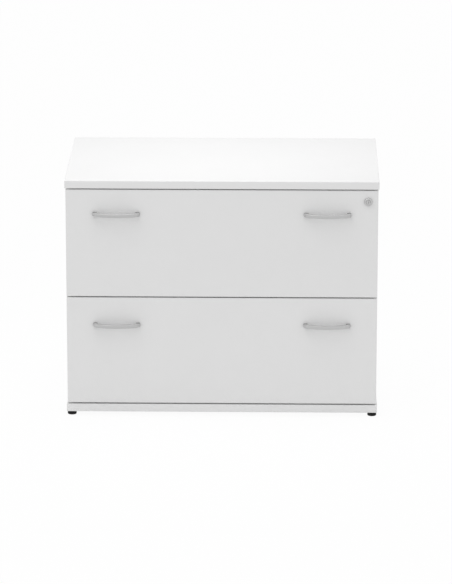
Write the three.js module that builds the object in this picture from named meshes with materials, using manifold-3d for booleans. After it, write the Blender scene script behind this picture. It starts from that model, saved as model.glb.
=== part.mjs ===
// Two-drawer lateral filing cabinet in white faced board, with bow handles, a cam lock and levelling feet.
// Units are millimetres. +Z is up, the drawers open towards -Y, and X runs along the width.
// The origin lies on the floor, in the middle of the overall box that includes the handles.

import * as THREE from "three";
import { RoundedBoxGeometry } from "three/addons/geometries/RoundedBoxGeometry.js";
import { mergeVertices } from "three/addons/utils/BufferGeometryUtils.js";
import Module from "manifold-3d";

// Carcass
const OVERALL_WIDTH = 1000;
const OVERALL_DEPTH = 600;
const TOP_THICKNESS = 25;
const BASE_THICKNESS = 25;
const SIDE_THICKNESS = 18;
const BACK_THICKNESS = 8;
const BACK_RECESS = 10;
const BACK_GROOVE_DEPTH = 8;
const PANEL_OVERHANG = 3;
const EDGING_RADIUS = 1.5;
const BOARD_SEAT = 0.2;

// Drawer fronts
const FRONT_THICKNESS = 18;
const FRONT_HEIGHT = 352;
const FRONT_GAP = 4;
const FRONT_TO_CARCASS = 2;

// Drawer boxes
const BOX_REAR_CLEARANCE = 21;
const BOX_SIDE_THICKNESS = 15;
const BOX_ABOVE_FRONT_EDGE = 18;
const BOX_BELOW_LOCK = 15.5;
const BOX_BACK_DROP = 10;
const BOX_BACK_THICKNESS = 15;
const BOTTOM_THICKNESS = 8;
const BOTTOM_GROOVE_DEPTH = 6;
const BOTTOM_ABOVE_SIDE_EDGE = 12;

// Hanging-file rails
const RAIL_THICKNESS = 3;
const RAIL_HEIGHT = 22;
const RAIL_STANDING_PROUD = 4;
const RAIL_SPACING = 385;
const FRONT_RAIL_SETBACK = 40;

// Ball-bearing runners
const RUNNER_SETBACK = 36;
const RUNNER_END_CLEARANCE = 2;
const RUNNER_SPACE = 13;
const RUNNER_SHEET = 1.4;
const RUNNER_OUTER_HEIGHT = 45;
const RUNNER_ABOVE_BOX_EDGE = 60;
const RUNNER_SEAT = 0.2;
const RUNNER_FLANGE_REACH = 7;
const RUNNER_LIP_CLEARANCE = 1.5;
const TRAVEL_SHORTFALL = 20;
const BALL_DIAMETER = 3.6;
const BALL_CLEARANCE = 0.3;
const BALLS_PER_RACE = 4;
const BALL_SEGMENTS = 6;
const BALL_RINGS = 4;
const CAGE_STRIP = 1.2;
const CAGE_WIDTH = 4.4;
const CAGE_END_MARGIN = 10;

// Bow handles
const HANDLE_LENGTH = 151;
const HANDLE_HEIGHT = 11.5;
const HANDLE_PROJECTION = 34;
const HANDLE_BOW = 9;
const HANDLE_BAR_THICKNESS = 12;
const HANDLE_LEG_WIDTH = 13;
const HANDLE_OUTER_CORNER = 13;
const HANDLE_INNER_CORNER = 8;
const HANDLE_EDGE = 1.5;
const HANDLE_CURVE_SEGMENTS = 6;
const HANDLE_FROM_END = 160.5;
const UPPER_HANDLE_BELOW_EDGE = 79;
const LOWER_HANDLE_BELOW_EDGE = 89;
const HANDLE_SEAT = 0.2;

// Lock in the upper drawer front
const LOCK_BELOW_EDGE = 36;
const LOCK_NUT_TO_SIDE = 1.5;
const LOCK_CLEARANCE = 0.3;
const LOCK_PLUG_RADIUS = 6.5;
const LOCK_PLUG_PROUD = 1.5;
const LOCK_BARREL_WALL = 2.7;
const LOCK_BARREL_BEHIND_FRONT = 12;
const LOCK_ROSE_FLANGE = 3.5;
const LOCK_ROSE_HEIGHT = 7;
const LOCK_ROSE_CHAMFER = 2;
const KEYWAY_WIDTH = 2.2;
const KEYWAY_HEIGHT = 8;
const KEYWAY_DEPTH = 9;
const LOCK_NUT_WALL = 3;
const LOCK_NUT_THICKNESS = 5;
const LOCK_NUT_SIDES = 6;
const CAM_THICKNESS = 2.5;
const CAM_EDGE = 1;
const CRANK_RADIUS = 6;
const CRANK_START = -Math.PI / 4;
const CRANK_PIN_RADIUS = 2;
const CRANK_PIN_LENGTH = 9;

// Locking bar in the right-hand side panel
const BAR_WIDTH = 16;
const BAR_THICKNESS = 5;
const BAR_CLEARANCE = 0.3;
const BAR_FROM_FRONT_EDGE = 9;
const BAR_TAIL = 12;
const BAR_TAB_THICKNESS = 3;
const BAR_TAB_BEHIND_CAM = 2.5;
const BAR_TAB_MARGIN = 4;
const BAR_SLOT_CLEARANCE = 0.5;
const HOOK_HEIGHT = 10;
const HOOK_THICKNESS = 4;
const STRIKER_BELOW_SIDE_TOP = 70;
const STRIKER_RADIUS = 3;
const STRIKER_LENGTH = 7.5;
const STRIKER_FLANGE = 1.2;
const STRIKER_FLANGE_THICKNESS = 2;
const STRIKER_BEHIND_HOOK = 2;
const HOOK_UNDER_STRIKER = 1.5;
const GUIDE_THICKNESS = 1.5;
const GUIDE_HEIGHT = 16;
const GUIDE_WIDTH = 32;
const UPPER_GUIDE_ABOVE_STRIKER = 43;
const LOWER_GUIDE_ABOVE_STRIKER = 39;

// Levelling feet
const FOOT_HEIGHT = 14;
const FOOT_RADIUS = 14;
const FOOT_TOE = 2;
const FOOT_SHOULDER = 3;
const FOOT_FROM_SIDE = 16;
const FOOT_FROM_EDGE = 22;
const STUD_RADIUS = 4;
const STUD_COVER = 5;
const STUD_IN_GLIDE = 8;
const FOOT_SEAT = 0.3;

const ROUND_SEGMENTS = 24;
const SMALL_ROUND_SEGMENTS = 12;

// Levels and planes worked out from the sizes above
const baseTop = FOOT_HEIGHT + BASE_THICKNESS;
const lowerFrontBottom = baseTop + FRONT_GAP;
const upperFrontBottom = lowerFrontBottom + FRONT_HEIGHT + FRONT_GAP;
const topUnderside = upperFrontBottom + FRONT_HEIGHT + FRONT_GAP;
const halfWidth = OVERALL_WIDTH / 2;
const frontOfTop = -OVERALL_DEPTH / 2;
const rearOfTop = OVERALL_DEPTH / 2;
const sideOuter = halfWidth - PANEL_OVERHANG;
const sideInner = sideOuter - SIDE_THICKNESS;
const faceOfFronts = frontOfTop + PANEL_OVERHANG;
const backOfFronts = faceOfFronts + FRONT_THICKNESS;
const carcassFront = backOfFronts + FRONT_TO_CARCASS;
const boxOuter = sideInner - RUNNER_SPACE;
const boxInner = boxOuter - BOX_SIDE_THICKNESS;
const boxFront = backOfFronts + BOARD_SEAT;
const backPanelRear = rearOfTop - BACK_RECESS;
const boxRear = backPanelRear - BACK_THICKNESS - BOX_REAR_CLEARANCE;
const runnerFront = carcassFront + RUNNER_SETBACK;
const runnerLength = boxRear - RUNNER_END_CLEARANCE - runnerFront;
const drawerTravel = runnerLength - TRAVEL_SHORTFALL;
const studInBase = BASE_THICKNESS - STUD_COVER;
const lockBarrelRadius = LOCK_PLUG_RADIUS + LOCK_CLEARANCE + LOCK_BARREL_WALL;
const lockRoseRadius = lockBarrelRadius + LOCK_ROSE_FLANGE;
const lockNutRadius = lockBarrelRadius + LOCK_NUT_WALL;
const boxBelowFrontTop = LOCK_BELOW_EDGE + lockNutRadius + BOX_BELOW_LOCK;
const boxSideHeight = FRONT_HEIGHT - BOX_ABOVE_FRONT_EDGE - boxBelowFrontTop;

// Finishes
const MATERIALS = {
  whiteBoard: { color: 0xe2e2e2, roughness: 0.5, metalness: 0 },
  zincPlate: { color: 0xb9bcc0, roughness: 0.35, metalness: 0.9 },
  whiteSteel: { color: 0xd2d3d4, roughness: 0.45, metalness: 0.2 },
  satinSilver: { color: 0xbdbdbd, roughness: 0.35, metalness: 0.85 },
  nickel: { color: 0xb4b4b4, roughness: 0.25, metalness: 0.95 },
  aluminium: { color: 0xc4c6c8, roughness: 0.4, metalness: 0.9 },
  blackPlastic: { color: 0x141414, roughness: 0.55, metalness: 0 },
};
for (const [name, values] of Object.entries(MATERIALS)) {
  MATERIALS[name] = new THREE.MeshStandardMaterial(values);
}

// Joining and cutting closed geometries
const wasm = await Module();
wasm.setup();

function toSolid(geometry) {
  const bare = geometry.index ? geometry.toNonIndexed() : geometry.clone();
  bare.deleteAttribute("normal");
  bare.deleteAttribute("uv");
  const merged = mergeVertices(bare, 1e-4);
  return new wasm.Manifold(
    new wasm.Mesh({
      numProp: 3,
      vertProperties: new Float32Array(merged.attributes.position.array),
      triVerts: new Uint32Array(merged.index.array),
    }),
  );
}

function toGeometry(solid) {
  const mesh = solid.getMesh();
  const geometry = new THREE.BufferGeometry();
  geometry.setAttribute("position", new THREE.BufferAttribute(mesh.vertProperties, 3));
  geometry.setIndex(new THREE.BufferAttribute(mesh.triVerts, 1));
  geometry.computeVertexNormals();
  return geometry;
}

function joined(geometries) {
  return toGeometry(geometries.map(toSolid).reduce((sum, next) => sum.add(next)));
}

function cut(geometry, tools) {
  return toGeometry(tools.map(toSolid).reduce((rest, tool) => rest.subtract(tool), toSolid(geometry)));
}

// Basic shapes, each given by the planes or axes that it lies between
function block(x0, x1, y0, y1, z0, z1) {
  const box = new THREE.BoxGeometry(x1 - x0, y1 - y0, z1 - z0);
  return box.translate((x0 + x1) / 2, (y0 + y1) / 2, (z0 + z1) / 2);
}

function edgedBoard(width, depth, height) {
  return new RoundedBoxGeometry(width, depth, height, 1, EDGING_RADIUS);
}

// A profile of [radius, height] pairs turned about +Z
function turnedAboutZ(profile, segments) {
  const points = profile.map(([radius, height]) => new THREE.Vector2(radius, height));
  return new THREE.LatheGeometry(points, segments).rotateX(Math.PI / 2);
}

// A profile of [radius, distance] pairs turned about Y, with distance measured towards +Y
function turnedAboutY(profile, segments) {
  const points = profile.map(([radius, distance]) => new THREE.Vector2(radius, distance));
  return new THREE.LatheGeometry(points, segments);
}

function rodAlongY(radius, y0, y1, segments) {
  return turnedAboutY([[0, y0], [radius, y0], [radius, y1], [0, y1]], segments);
}

function rodAlongX(radius, x0, x1, segments) {
  return rodAlongY(radius, -x1, -x0, segments).rotateZ(Math.PI / 2);
}

// An outline of [x, z] pairs drawn out along Y between two planes
function drawnAlongY(outline, y0, y1) {
  const shape = new THREE.Shape(outline.map(([x, z]) => new THREE.Vector2(x, z)));
  const sweep = new THREE.ExtrudeGeometry(shape, { depth: y1 - y0, bevelEnabled: false });
  return sweep.rotateX(Math.PI / 2).translate(0, y1, 0);
}

// A channel section with its web on one side and two flanges that reach to another
function channelOutline(webBack, webFace, flangeEnd, outerHalf, innerHalf) {
  const outline = [
    [webBack, -outerHalf],
    [flangeEnd, -outerHalf],
    [flangeEnd, -innerHalf],
    [webFace, -innerHalf],
    [webFace, innerHalf],
    [flangeEnd, innerHalf],
    [flangeEnd, outerHalf],
    [webBack, outerHalf],
  ];
  return flangeEnd > webBack ? outline : outline.reverse();
}

function place(group, name, geometry, material, x = 0, y = 0, z = 0) {
  const mesh = new THREE.Mesh(geometry, material);
  mesh.name = name;
  mesh.position.set(x, y, z);
  group.add(mesh);
  return mesh;
}

// Places along the lock's axis, measured in the cabinet
const lockX = sideInner - lockNutRadius - LOCK_NUT_TO_SIDE;
const lockZ = upperFrontBottom + FRONT_HEIGHT - LOCK_BELOW_EDGE;
const barrelRear = backOfFronts + LOCK_BARREL_BEHIND_FRONT;
const camFront = barrelRear + LOCK_CLEARANCE;
const camRear = camFront + CAM_THICKNESS;
const tabFront = camRear + BAR_TAB_BEHIND_CAM;
const barFront = carcassFront + BAR_FROM_FRONT_EDGE;
const barRear = barFront + BAR_WIDTH;
const barFace = sideInner + BAR_CLEARANCE;
const barBack = barFace + BAR_THICKNESS;
const grooveFloor = barBack + BAR_CLEARANCE;
const hookFront = barFront + BOARD_SEAT;
const hookRear = hookFront + HOOK_THICKNESS;
const strikerY = hookRear + STRIKER_BEHIND_HOOK + STRIKER_RADIUS;
const hookReach = boxOuter + BOARD_SEAT + STRIKER_FLANGE_THICKNESS + LOCK_CLEARANCE;

function boxEdge(frontBottom) {
  return frontBottom + BOX_ABOVE_FRONT_EDGE;
}

function strikerHeight(frontBottom) {
  return boxEdge(frontBottom) + boxSideHeight - STRIKER_BELOW_SIDE_TOP;
}

const lowestHook = strikerHeight(lowerFrontBottom) - STRIKER_RADIUS - HOOK_UNDER_STRIKER - HOOK_HEIGHT;
const barBottom = lowestHook - BAR_TAIL;
const crankRestZ = lockZ + CRANK_RADIUS * Math.sin(CRANK_START);

// Carcass panels
function sidePanel(side) {
  const bottom = baseTop + BOARD_SEAT;
  const top = topUnderside - BOARD_SEAT;
  const between = (a, b) => [Math.min(side * a, side * b), Math.max(side * a, side * b)];
  const panel = block(...between(sideInner, sideOuter), carcassFront, rearOfTop, bottom, top);
  const backGroove = block(
    ...between(sideInner - BOARD_SEAT, sideInner + BACK_GROOVE_DEPTH),
    backPanelRear - BACK_THICKNESS - BOARD_SEAT,
    backPanelRear + BOARD_SEAT,
    bottom - BOARD_SEAT,
    top + BOARD_SEAT,
  );
  if (side < 0) {
    return cut(panel, [backGroove]);
  }
  const barGroove = block(
    sideInner - BOARD_SEAT,
    grooveFloor,
    barFront - BAR_CLEARANCE,
    barRear + BAR_CLEARANCE,
    barBottom - BAR_CLEARANCE,
    top + BOARD_SEAT,
  );
  return cut(panel, [backGroove, barGroove]);
}

function basePanel() {
  const board = edgedBoard(OVERALL_WIDTH, OVERALL_DEPTH, BASE_THICKNESS);
  const studHoles = footPlaces().map(({ x, y }) =>
    turnedAboutZ(
      [
        [0, -BASE_THICKNESS],
        [STUD_RADIUS + FOOT_SEAT, -BASE_THICKNESS],
        [STUD_RADIUS + FOOT_SEAT, studInBase + FOOT_SEAT - BASE_THICKNESS / 2],
        [0, studInBase + FOOT_SEAT - BASE_THICKNESS / 2],
      ],
      SMALL_ROUND_SEGMENTS,
    ).translate(x, y, 0),
  );
  return cut(board, studHoles);
}

function addCarcass(group) {
  const board = MATERIALS.whiteBoard;
  const topBoard = edgedBoard(OVERALL_WIDTH, OVERALL_DEPTH, TOP_THICKNESS);
  place(group, "top_panel", topBoard, board, 0, 0, topUnderside + TOP_THICKNESS / 2);
  place(group, "base_panel", basePanel(), board, 0, 0, FOOT_HEIGHT + BASE_THICKNESS / 2);
  place(group, "left_side_panel", sidePanel(-1), board);
  place(group, "right_side_panel", sidePanel(1), board);
  const backHalf = sideInner + BACK_GROOVE_DEPTH - BOARD_SEAT;
  const back = block(
    -backHalf,
    backHalf,
    backPanelRear - BACK_THICKNESS,
    backPanelRear,
    baseTop + BOARD_SEAT,
    topUnderside - BOARD_SEAT,
  );
  place(group, "back_panel", back, board);
}

// Levelling feet, each a plastic glide on a threaded stud
function footPlaces() {
  const x = halfWidth - FOOT_FROM_SIDE;
  const y = OVERALL_DEPTH / 2 - FOOT_FROM_EDGE;
  return [
    { name: "front_left", x: -x, y: -y },
    { name: "front_right", x, y: -y },
    { name: "rear_left", x: -x, y },
    { name: "rear_right", x, y },
  ];
}

function addFeet(group) {
  const glideTop = FOOT_HEIGHT - FOOT_SEAT;
  const socketFloor = glideTop - STUD_IN_GLIDE;
  const socketRadius = STUD_RADIUS + FOOT_SEAT;
  const glideProfile = [
    [0, 0],
    [FOOT_RADIUS - FOOT_TOE, 0],
    [FOOT_RADIUS, FOOT_TOE],
    [FOOT_RADIUS, glideTop - FOOT_SHOULDER],
    [FOOT_RADIUS - FOOT_SHOULDER, glideTop],
    [socketRadius, glideTop],
    [socketRadius, socketFloor],
    [0, socketFloor],
  ];
  const studBottom = socketFloor + FOOT_SEAT;
  const studTop = FOOT_HEIGHT + studInBase;
  const studProfile = [[0, studBottom], [STUD_RADIUS, studBottom], [STUD_RADIUS, studTop], [0, studTop]];
  for (const { name, x, y } of footPlaces()) {
    const glide = turnedAboutZ(glideProfile, ROUND_SEGMENTS);
    const stud = turnedAboutZ(studProfile, SMALL_ROUND_SEGMENTS);
    place(group, `${name}_foot_glide`, glide, MATERIALS.blackPlastic, x, y, 0);
    place(group, `${name}_foot_stud`, stud, MATERIALS.zincPlate, x, y, 0);
  }
}

// Runners: three nested channels with a ball cage between each pair.
// Distances in x are measured from the side panel's face towards the drawer.
const runnerHalf = RUNNER_OUTER_HEIGHT / 2;
const raceHeight = BALL_DIAMETER + 2 * BALL_CLEARANCE;
const outerFlange = { outer: runnerHalf, inner: runnerHalf - RUNNER_SHEET };
const middleFlange = { outer: outerFlange.inner - raceHeight };
middleFlange.inner = middleFlange.outer - RUNNER_SHEET;
const innerFlange = { outer: middleFlange.inner - raceHeight };
innerFlange.inner = innerFlange.outer - RUNNER_SHEET;
const outerWebFace = RUNNER_SEAT + RUNNER_SHEET;
const outerCageWeb = outerWebFace + BALL_CLEARANCE;
const middleWebBack = outerCageWeb + CAGE_STRIP + BALL_CLEARANCE;
const middleWebFace = middleWebBack + RUNNER_SHEET;
const innerCageWeb = middleWebFace + BALL_CLEARANCE;
const innerWebBack = RUNNER_SPACE - RUNNER_SEAT;
const innerWebFace = innerWebBack - RUNNER_SHEET;
const innerFlangeEnd = innerCageWeb + CAGE_STRIP + BALL_CLEARANCE;
const outerFlangeEnd = RUNNER_SPACE - RUNNER_LIP_CLEARANCE;
const middleFlangeEnd = Math.min(middleWebBack + RUNNER_FLANGE_REACH, innerWebFace - BALL_CLEARANCE);
const cageLength = runnerLength - drawerTravel / 2 - 2 * CAGE_END_MARGIN;

function runnerMember(web, flange) {
  return drawnAlongY(
    channelOutline(web.back, web.face, web.flangeEnd, flange.outer, flange.inner),
    runnerFront,
    runnerFront + runnerLength,
  );
}

// A folded strip that carries balls along an upper and a lower race
function ballCage(webStart, raceCentre) {
  const half = raceCentre + CAGE_STRIP / 2;
  const front = runnerFront + (runnerLength - cageLength) / 2;
  const strip = drawnAlongY(
    channelOutline(webStart, webStart + CAGE_STRIP, webStart + CAGE_WIDTH, half, half - CAGE_STRIP),
    front,
    front + cageLength,
  );
  const ballX = webStart + (CAGE_STRIP + CAGE_WIDTH) / 2;
  const pitch = cageLength / BALLS_PER_RACE;
  const balls = [];
  for (let row = 0; row < BALLS_PER_RACE; row += 1) {
    for (const level of [-raceCentre, raceCentre]) {
      const ball = new THREE.SphereGeometry(BALL_DIAMETER / 2, BALL_SEGMENTS, BALL_RINGS);
      ball.rotateY(Math.PI / BALL_SEGMENTS);
      balls.push(ball.translate(ballX, front + pitch / 2 + pitch * row, level));
    }
  }
  return joined([strip, ...balls]);
}

// Turns a runner piece, measured from the side panel's face, to its place on one side of the cabinet
function onSide(geometry, side) {
  if (side < 0) {
    return geometry.translate(-sideInner, 0, 0);
  }
  const middle = 2 * runnerFront + runnerLength;
  return geometry.rotateZ(Math.PI).translate(sideInner, middle, 0);
}

function addRunners(group, level, frontBottom) {
  const z = boxEdge(frontBottom) + RUNNER_ABOVE_BOX_EDGE;
  const pieces = {
    outer: () =>
      runnerMember({ back: RUNNER_SEAT, face: outerWebFace, flangeEnd: outerFlangeEnd }, outerFlange),
    middle: () =>
      runnerMember({ back: middleWebBack, face: middleWebFace, flangeEnd: middleFlangeEnd }, middleFlange),
    inner: () =>
      runnerMember({ back: innerWebBack, face: innerWebFace, flangeEnd: innerFlangeEnd }, innerFlange),
    outer_ball_cage: () => ballCage(outerCageWeb, (outerFlange.inner + middleFlange.outer) / 2),
    inner_ball_cage: () => ballCage(innerCageWeb, (middleFlange.inner + innerFlange.outer) / 2),
  };
  for (const [handName, side] of [["left", -1], ["right", 1]]) {
    for (const [piece, make] of Object.entries(pieces)) {
      const name = `${level}_${handName}_runner_${piece}`;
      place(group, name, onSide(make(), side), MATERIALS.zincPlate, 0, 0, z);
    }
  }
}

// Drawer boxes
function drawerSide(side, railYs) {
  const between = (a, b) => [Math.min(side * a, side * b), Math.max(side * a, side * b)];
  const panel = block(...between(boxInner, boxOuter), boxFront, boxRear, 0, boxSideHeight);
  const bottomGroove = block(
    ...between(boxInner - BOARD_SEAT, boxInner + BOTTOM_GROOVE_DEPTH),
    boxFront - BOARD_SEAT,
    boxRear + BOARD_SEAT,
    BOTTOM_ABOVE_SIDE_EDGE - BOARD_SEAT,
    BOTTOM_ABOVE_SIDE_EDGE + BOTTOM_THICKNESS + BOARD_SEAT,
  );
  const notches = railYs.map((y) =>
    block(
      ...between(boxInner - BOARD_SEAT, boxOuter + BOARD_SEAT),
      y - RAIL_THICKNESS / 2 - BOARD_SEAT,
      y + RAIL_THICKNESS / 2 + BOARD_SEAT,
      boxSideHeight + RAIL_STANDING_PROUD - RAIL_HEIGHT - BOARD_SEAT,
      boxSideHeight + BOARD_SEAT,
    ),
  );
  return cut(panel, [bottomGroove, ...notches]);
}

function addDrawerBox(group, level, frontBottom) {
  const z = boxEdge(frontBottom);
  const board = MATERIALS.whiteBoard;
  const frontRailY = backOfFronts + FRONT_RAIL_SETBACK;
  const rails = { front: frontRailY, rear: frontRailY + RAIL_SPACING };
  place(group, `${level}_drawer_left_side`, drawerSide(-1, Object.values(rails)), board, 0, 0, z);
  place(group, `${level}_drawer_right_side`, drawerSide(1, Object.values(rails)), board, 0, 0, z);

  const backHalf = boxInner - BOARD_SEAT;
  const backBottom = BOTTOM_ABOVE_SIDE_EDGE + BOTTOM_THICKNESS + BOARD_SEAT;
  const backRear = boxRear - BOARD_SEAT;
  const back = block(
    -backHalf,
    backHalf,
    backRear - BOX_BACK_THICKNESS,
    backRear,
    backBottom,
    boxSideHeight - BOX_BACK_DROP,
  );
  place(group, `${level}_drawer_back`, back, board, 0, 0, z);

  const bottomHalf = boxInner + BOTTOM_GROOVE_DEPTH - BOARD_SEAT;
  const bottom = block(
    -bottomHalf,
    bottomHalf,
    boxFront,
    boxRear - BOARD_SEAT,
    BOTTOM_ABOVE_SIDE_EDGE,
    BOTTOM_ABOVE_SIDE_EDGE + BOTTOM_THICKNESS,
  );
  place(group, `${level}_drawer_bottom`, bottom, board, 0, 0, z);

  const railTop = boxSideHeight + RAIL_STANDING_PROUD;
  for (const [where, y] of Object.entries(rails)) {
    const rail = block(
      -boxOuter,
      boxOuter,
      y - RAIL_THICKNESS / 2,
      y + RAIL_THICKNESS / 2,
      railTop - RAIL_HEIGHT,
      railTop,
    );
    place(group, `${level}_${where}_file_rail`, rail, MATERIALS.whiteSteel, 0, 0, z);
  }
}

// Bow handles, drawn in plan and given their height
function bowHandle() {
  const half = HANDLE_LENGTH / 2;
  const endProjection = HANDLE_PROJECTION - HANDLE_BOW;
  const legInner = half - HANDLE_LEG_WIDTH;
  const barInner = endProjection - HANDLE_BAR_THICKNESS;
  const bowControl = 2 * HANDLE_PROJECTION - endProjection;
  const innerControl = 2 * (HANDLE_PROJECTION - HANDLE_BAR_THICKNESS) - barInner;
  const plan = new THREE.Shape();
  plan.moveTo(-half, 0);
  plan.lineTo(-legInner, 0);
  plan.lineTo(-legInner, HANDLE_INNER_CORNER - barInner);
  plan.quadraticCurveTo(-legInner, -barInner, HANDLE_INNER_CORNER - legInner, -barInner);
  plan.quadraticCurveTo(0, -innerControl, legInner - HANDLE_INNER_CORNER, -barInner);
  plan.quadraticCurveTo(legInner, -barInner, legInner, HANDLE_INNER_CORNER - barInner);
  plan.lineTo(legInner, 0);
  plan.lineTo(half, 0);
  plan.lineTo(half, HANDLE_OUTER_CORNER - endProjection);
  plan.quadraticCurveTo(half, -endProjection, half - HANDLE_OUTER_CORNER, -endProjection);
  plan.quadraticCurveTo(0, -bowControl, HANDLE_OUTER_CORNER - half, -endProjection);
  plan.quadraticCurveTo(-half, -endProjection, -half, HANDLE_OUTER_CORNER - endProjection);
  plan.closePath();
  const bar = new THREE.ExtrudeGeometry(plan, {
    depth: HANDLE_HEIGHT - 2 * HANDLE_EDGE,
    curveSegments: HANDLE_CURVE_SEGMENTS,
    bevelEnabled: true,
    bevelThickness: HANDLE_EDGE,
    bevelSize: HANDLE_EDGE,
    bevelOffset: -HANDLE_EDGE,
    bevelSegments: 1,
  });
  return bar.translate(0, 0, HANDLE_EDGE - HANDLE_HEIGHT / 2);
}

function addHandles(group, level, frontBottom, belowEdge) {
  const y = faceOfFronts - HANDLE_SEAT;
  const z = frontBottom + FRONT_HEIGHT - belowEdge;
  const x = sideOuter - HANDLE_FROM_END;
  place(group, `${level}_left_handle`, bowHandle(), MATERIALS.satinSilver, -x, y, z);
  place(group, `${level}_right_handle`, bowHandle(), MATERIALS.satinSilver, x, y, z);
}

function addStriker(group, level, frontBottom) {
  const face = boxOuter + BOARD_SEAT;
  const striker = joined([
    rodAlongX(STRIKER_RADIUS + STRIKER_FLANGE, face, face + STRIKER_FLANGE_THICKNESS, ROUND_SEGMENTS),
    rodAlongX(STRIKER_RADIUS, face, face + STRIKER_LENGTH, SMALL_ROUND_SEGMENTS),
  ]);
  const z = strikerHeight(frontBottom);
  place(group, `${level}_lock_striker`, striker, MATERIALS.zincPlate, 0, strikerY, z);
}

// One drawer with everything that travels on it and the runners that carry it
function addDrawer(group, level, frontBottom, handleBelowEdge, holes) {
  const y = (faceOfFronts + backOfFronts) / 2;
  const z = frontBottom + FRONT_HEIGHT / 2;
  const board = edgedBoard(2 * sideOuter, FRONT_THICKNESS, FRONT_HEIGHT);
  const front = holes.length ? cut(board, holes.map((hole) => hole.translate(0, -y, -z))) : board;
  place(group, `${level}_drawer_front`, front, MATERIALS.whiteBoard, 0, y, z);
  addDrawerBox(group, level, frontBottom);
  addHandles(group, level, frontBottom, handleBelowEdge);
  addRunners(group, level, frontBottom);
  addStriker(group, level, frontBottom);
}

function lockHole() {
  const radius = lockBarrelRadius + LOCK_CLEARANCE;
  const before = faceOfFronts - FRONT_THICKNESS;
  const behind = backOfFronts + FRONT_THICKNESS;
  return rodAlongY(radius, before, behind, ROUND_SEGMENTS).translate(lockX, 0, lockZ);
}

// Lock: a turned housing, the plug that the key turns, its nut and the crank behind it
function addLock(group) {
  const roseBack = faceOfFronts - LOCK_CLEARANCE;
  const roseFace = roseBack - LOCK_ROSE_HEIGHT;
  const bore = LOCK_PLUG_RADIUS + LOCK_CLEARANCE;
  const housing = turnedAboutY(
    [
      [bore, roseFace],
      [lockRoseRadius - LOCK_ROSE_CHAMFER, roseFace],
      [lockRoseRadius, roseFace + LOCK_ROSE_CHAMFER],
      [lockRoseRadius, roseBack],
      [lockBarrelRadius, roseBack],
      [lockBarrelRadius, barrelRear],
      [bore, barrelRear],
      [bore, roseFace],
    ],
    ROUND_SEGMENTS,
  );
  place(group, "lock_housing", housing, MATERIALS.nickel, lockX, 0, lockZ);

  const plugFace = roseFace - LOCK_PLUG_PROUD;
  const keyway = block(
    -KEYWAY_WIDTH / 2,
    KEYWAY_WIDTH / 2,
    plugFace - KEYWAY_DEPTH,
    plugFace + KEYWAY_DEPTH,
    -KEYWAY_HEIGHT / 2,
    KEYWAY_HEIGHT / 2,
  );
  const plug = cut(rodAlongY(LOCK_PLUG_RADIUS, plugFace, barrelRear, ROUND_SEGMENTS), [keyway]);
  place(group, "lock_plug", plug, MATERIALS.nickel, lockX, 0, lockZ);

  const nutFront = backOfFronts + LOCK_CLEARANCE;
  const nutRear = nutFront + LOCK_NUT_THICKNESS;
  const nutOutside = rodAlongY(lockNutRadius, nutFront, nutRear, LOCK_NUT_SIDES);
  const nut = cut(nutOutside, [lockHole().translate(-lockX, 0, -lockZ)]);
  place(group, "lock_nut", nut, MATERIALS.zincPlate, lockX, 0, lockZ);

  const pinX = CRANK_RADIUS * Math.cos(CRANK_START);
  const pinZ = CRANK_RADIUS * Math.sin(CRANK_START);
  const pin = rodAlongY(CRANK_PIN_RADIUS, camFront, camRear + CRANK_PIN_LENGTH, SMALL_ROUND_SEGMENTS);
  const camRadius = CRANK_RADIUS + CRANK_PIN_RADIUS + CAM_EDGE;
  const cam = joined([
    rodAlongY(camRadius, camFront, camRear, ROUND_SEGMENTS),
    pin.translate(pinX, 0, pinZ),
  ]);
  place(group, "lock_cam", cam, MATERIALS.zincPlate, lockX, 0, lockZ);
}

// Locking bar: a strip in the side panel's groove, with a slotted tab for the crank and a hook per drawer
function addLockBar(group) {
  const slotHalf = CRANK_PIN_RADIUS + BAR_SLOT_CLEARANCE;
  const tabHalf = slotHalf + BAR_TAB_MARGIN;
  const slotStart = lockX + CRANK_RADIUS * Math.cos(CRANK_START) - slotHalf;
  const slotEnd = lockX + CRANK_RADIUS + slotHalf;
  const tabRear = tabFront + BAR_TAB_THICKNESS;
  const barTop = crankRestZ + tabHalf;
  const hooks = [lowerFrontBottom, upperFrontBottom].map((frontBottom) => {
    const hookTop = strikerHeight(frontBottom) - STRIKER_RADIUS - HOOK_UNDER_STRIKER;
    return block(hookReach, barBack, hookFront, hookRear, hookTop - HOOK_HEIGHT, hookTop);
  });
  const tab = block(slotStart - BAR_TAB_MARGIN, barBack, tabFront, tabRear, crankRestZ - tabHalf, barTop);
  const slot = block(
    slotStart,
    slotEnd,
    tabFront - BAR_TAB_THICKNESS,
    tabRear + BAR_TAB_THICKNESS,
    crankRestZ - slotHalf,
    crankRestZ + slotHalf,
  );
  const strip = block(barFace, barBack, barFront, barRear, barBottom, barTop);
  const bar = cut(joined([strip, tab, ...hooks]), [slot]);
  place(group, "lock_bar", bar, MATERIALS.aluminium);

  const guideBack = sideInner - BOARD_SEAT;
  const guideY = (barFront + barRear) / 2;
  const guides = {
    upper: strikerHeight(upperFrontBottom) + UPPER_GUIDE_ABOVE_STRIKER,
    lower: strikerHeight(lowerFrontBottom) + LOWER_GUIDE_ABOVE_STRIKER,
  };
  for (const [level, z] of Object.entries(guides)) {
    const guide = block(
      guideBack - GUIDE_THICKNESS,
      guideBack,
      guideY - GUIDE_WIDTH / 2,
      guideY + GUIDE_WIDTH / 2,
      z - GUIDE_HEIGHT / 2,
      z + GUIDE_HEIGHT / 2,
    );
    place(group, `lock_bar_${level}_guide`, guide, MATERIALS.zincPlate);
  }
}

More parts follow.
